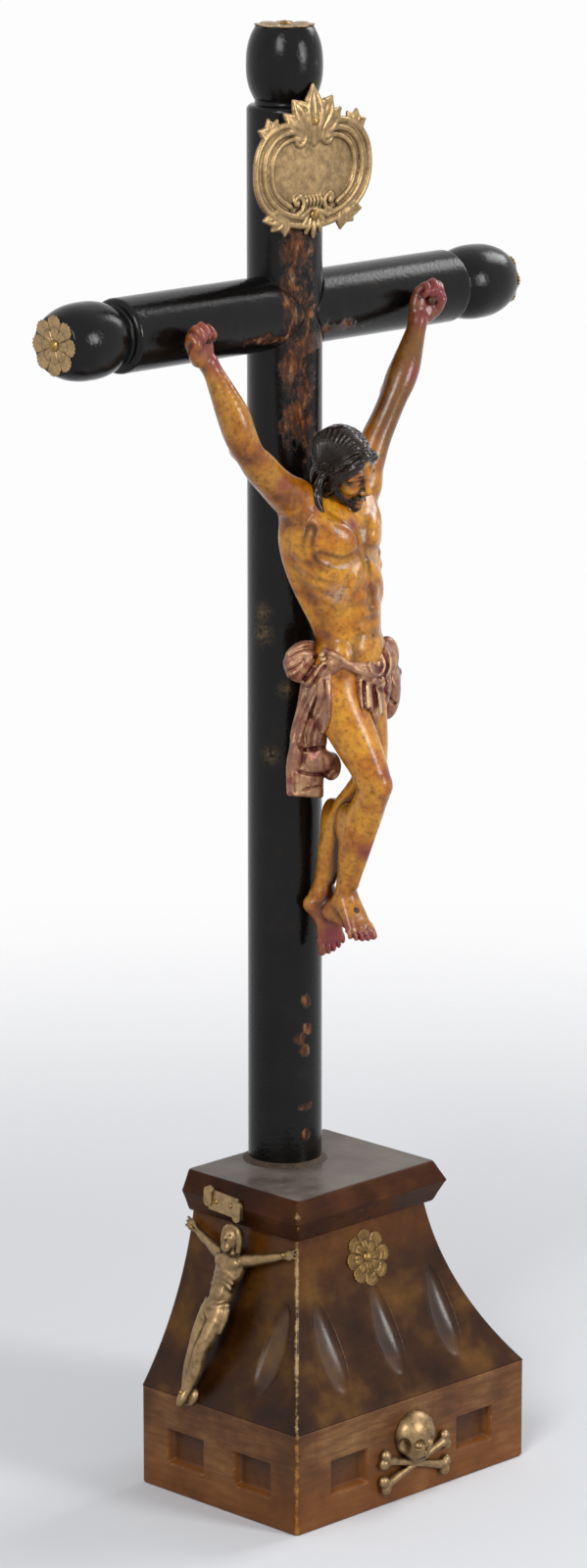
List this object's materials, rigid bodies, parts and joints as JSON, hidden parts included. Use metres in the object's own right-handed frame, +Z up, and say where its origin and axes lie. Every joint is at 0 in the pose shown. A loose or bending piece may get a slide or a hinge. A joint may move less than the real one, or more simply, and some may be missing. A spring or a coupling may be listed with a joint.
{
  "type": "standing crucifix",
  "caption": "Standing table crucifix: a turned black cross on a flared wooden base, with a carved painted figure, brass cartouche and rosettes, a small cast figure and a skull.",
  "frame": {"origin": "centre of the underside of the base", "axes": "+Z up along the post, -Y the front that the figure faces, +X to the right of someone facing it"},
  "size_m": [0.2764, 0.107, 0.65],
  "materials": {
    "stained_wood": "worn brown stain and varnish, rubbed pale on the edges",
    "ebonised_wood": "black ebonised lacquer, rubbed through to brown along the front",
    "old_glue": "dull dried glue",
    "peg_wood": "bare turned peg",
    "stamped_brass": "aged stamped sheet brass",
    "cast_brass": "aged cast brass with dark hollows",
    "brass_pin": "round headed brass pin",
    "painted_flesh": "carved wood, flesh paint under amber varnish",
    "gilt_cloth": "carved wood, copper gilding worn to a red ground",
    "forged_iron": "forged iron, rusty brown"
  },
  "bodies": {
    "root": {"base_plinth": "stained_wood", "base_body": "stained_wood", "base_cap": "stained_wood", "upright_post": "ebonised_wood", "left_cross_arm": "ebonised_wood", "right_cross_arm": "ebonised_wood", "post_foot_glue": "old_glue", "cross_pin": "peg_wood", "shoulder_dowels": "peg_wood", "top_rosette": "stamped_brass", "left_end_rosette": "stamped_brass", "right_end_rosette": "stamped_brass", "base_rosette": "stamped_brass", "title_cartouche": "stamped_brass", "small_title_plate": "stamped_brass", "small_corpus": "cast_brass", "skull_and_bones": "cast_brass", "rosette_pins": "brass_pin", "cartouche_nails": "brass_pin", "small_corpus_nails": "brass_pin", "small_plate_nails": "brass_pin", "corpus_body": "painted_flesh", "corpus_right_arm": "painted_flesh", "corpus_left_arm": "painted_flesh", "loincloth": "gilt_cloth", "loincloth_drape": "gilt_cloth", "hand_nails": "forged_iron", "foot_nail": "forged_iron"}
  },
  "joints": []
}
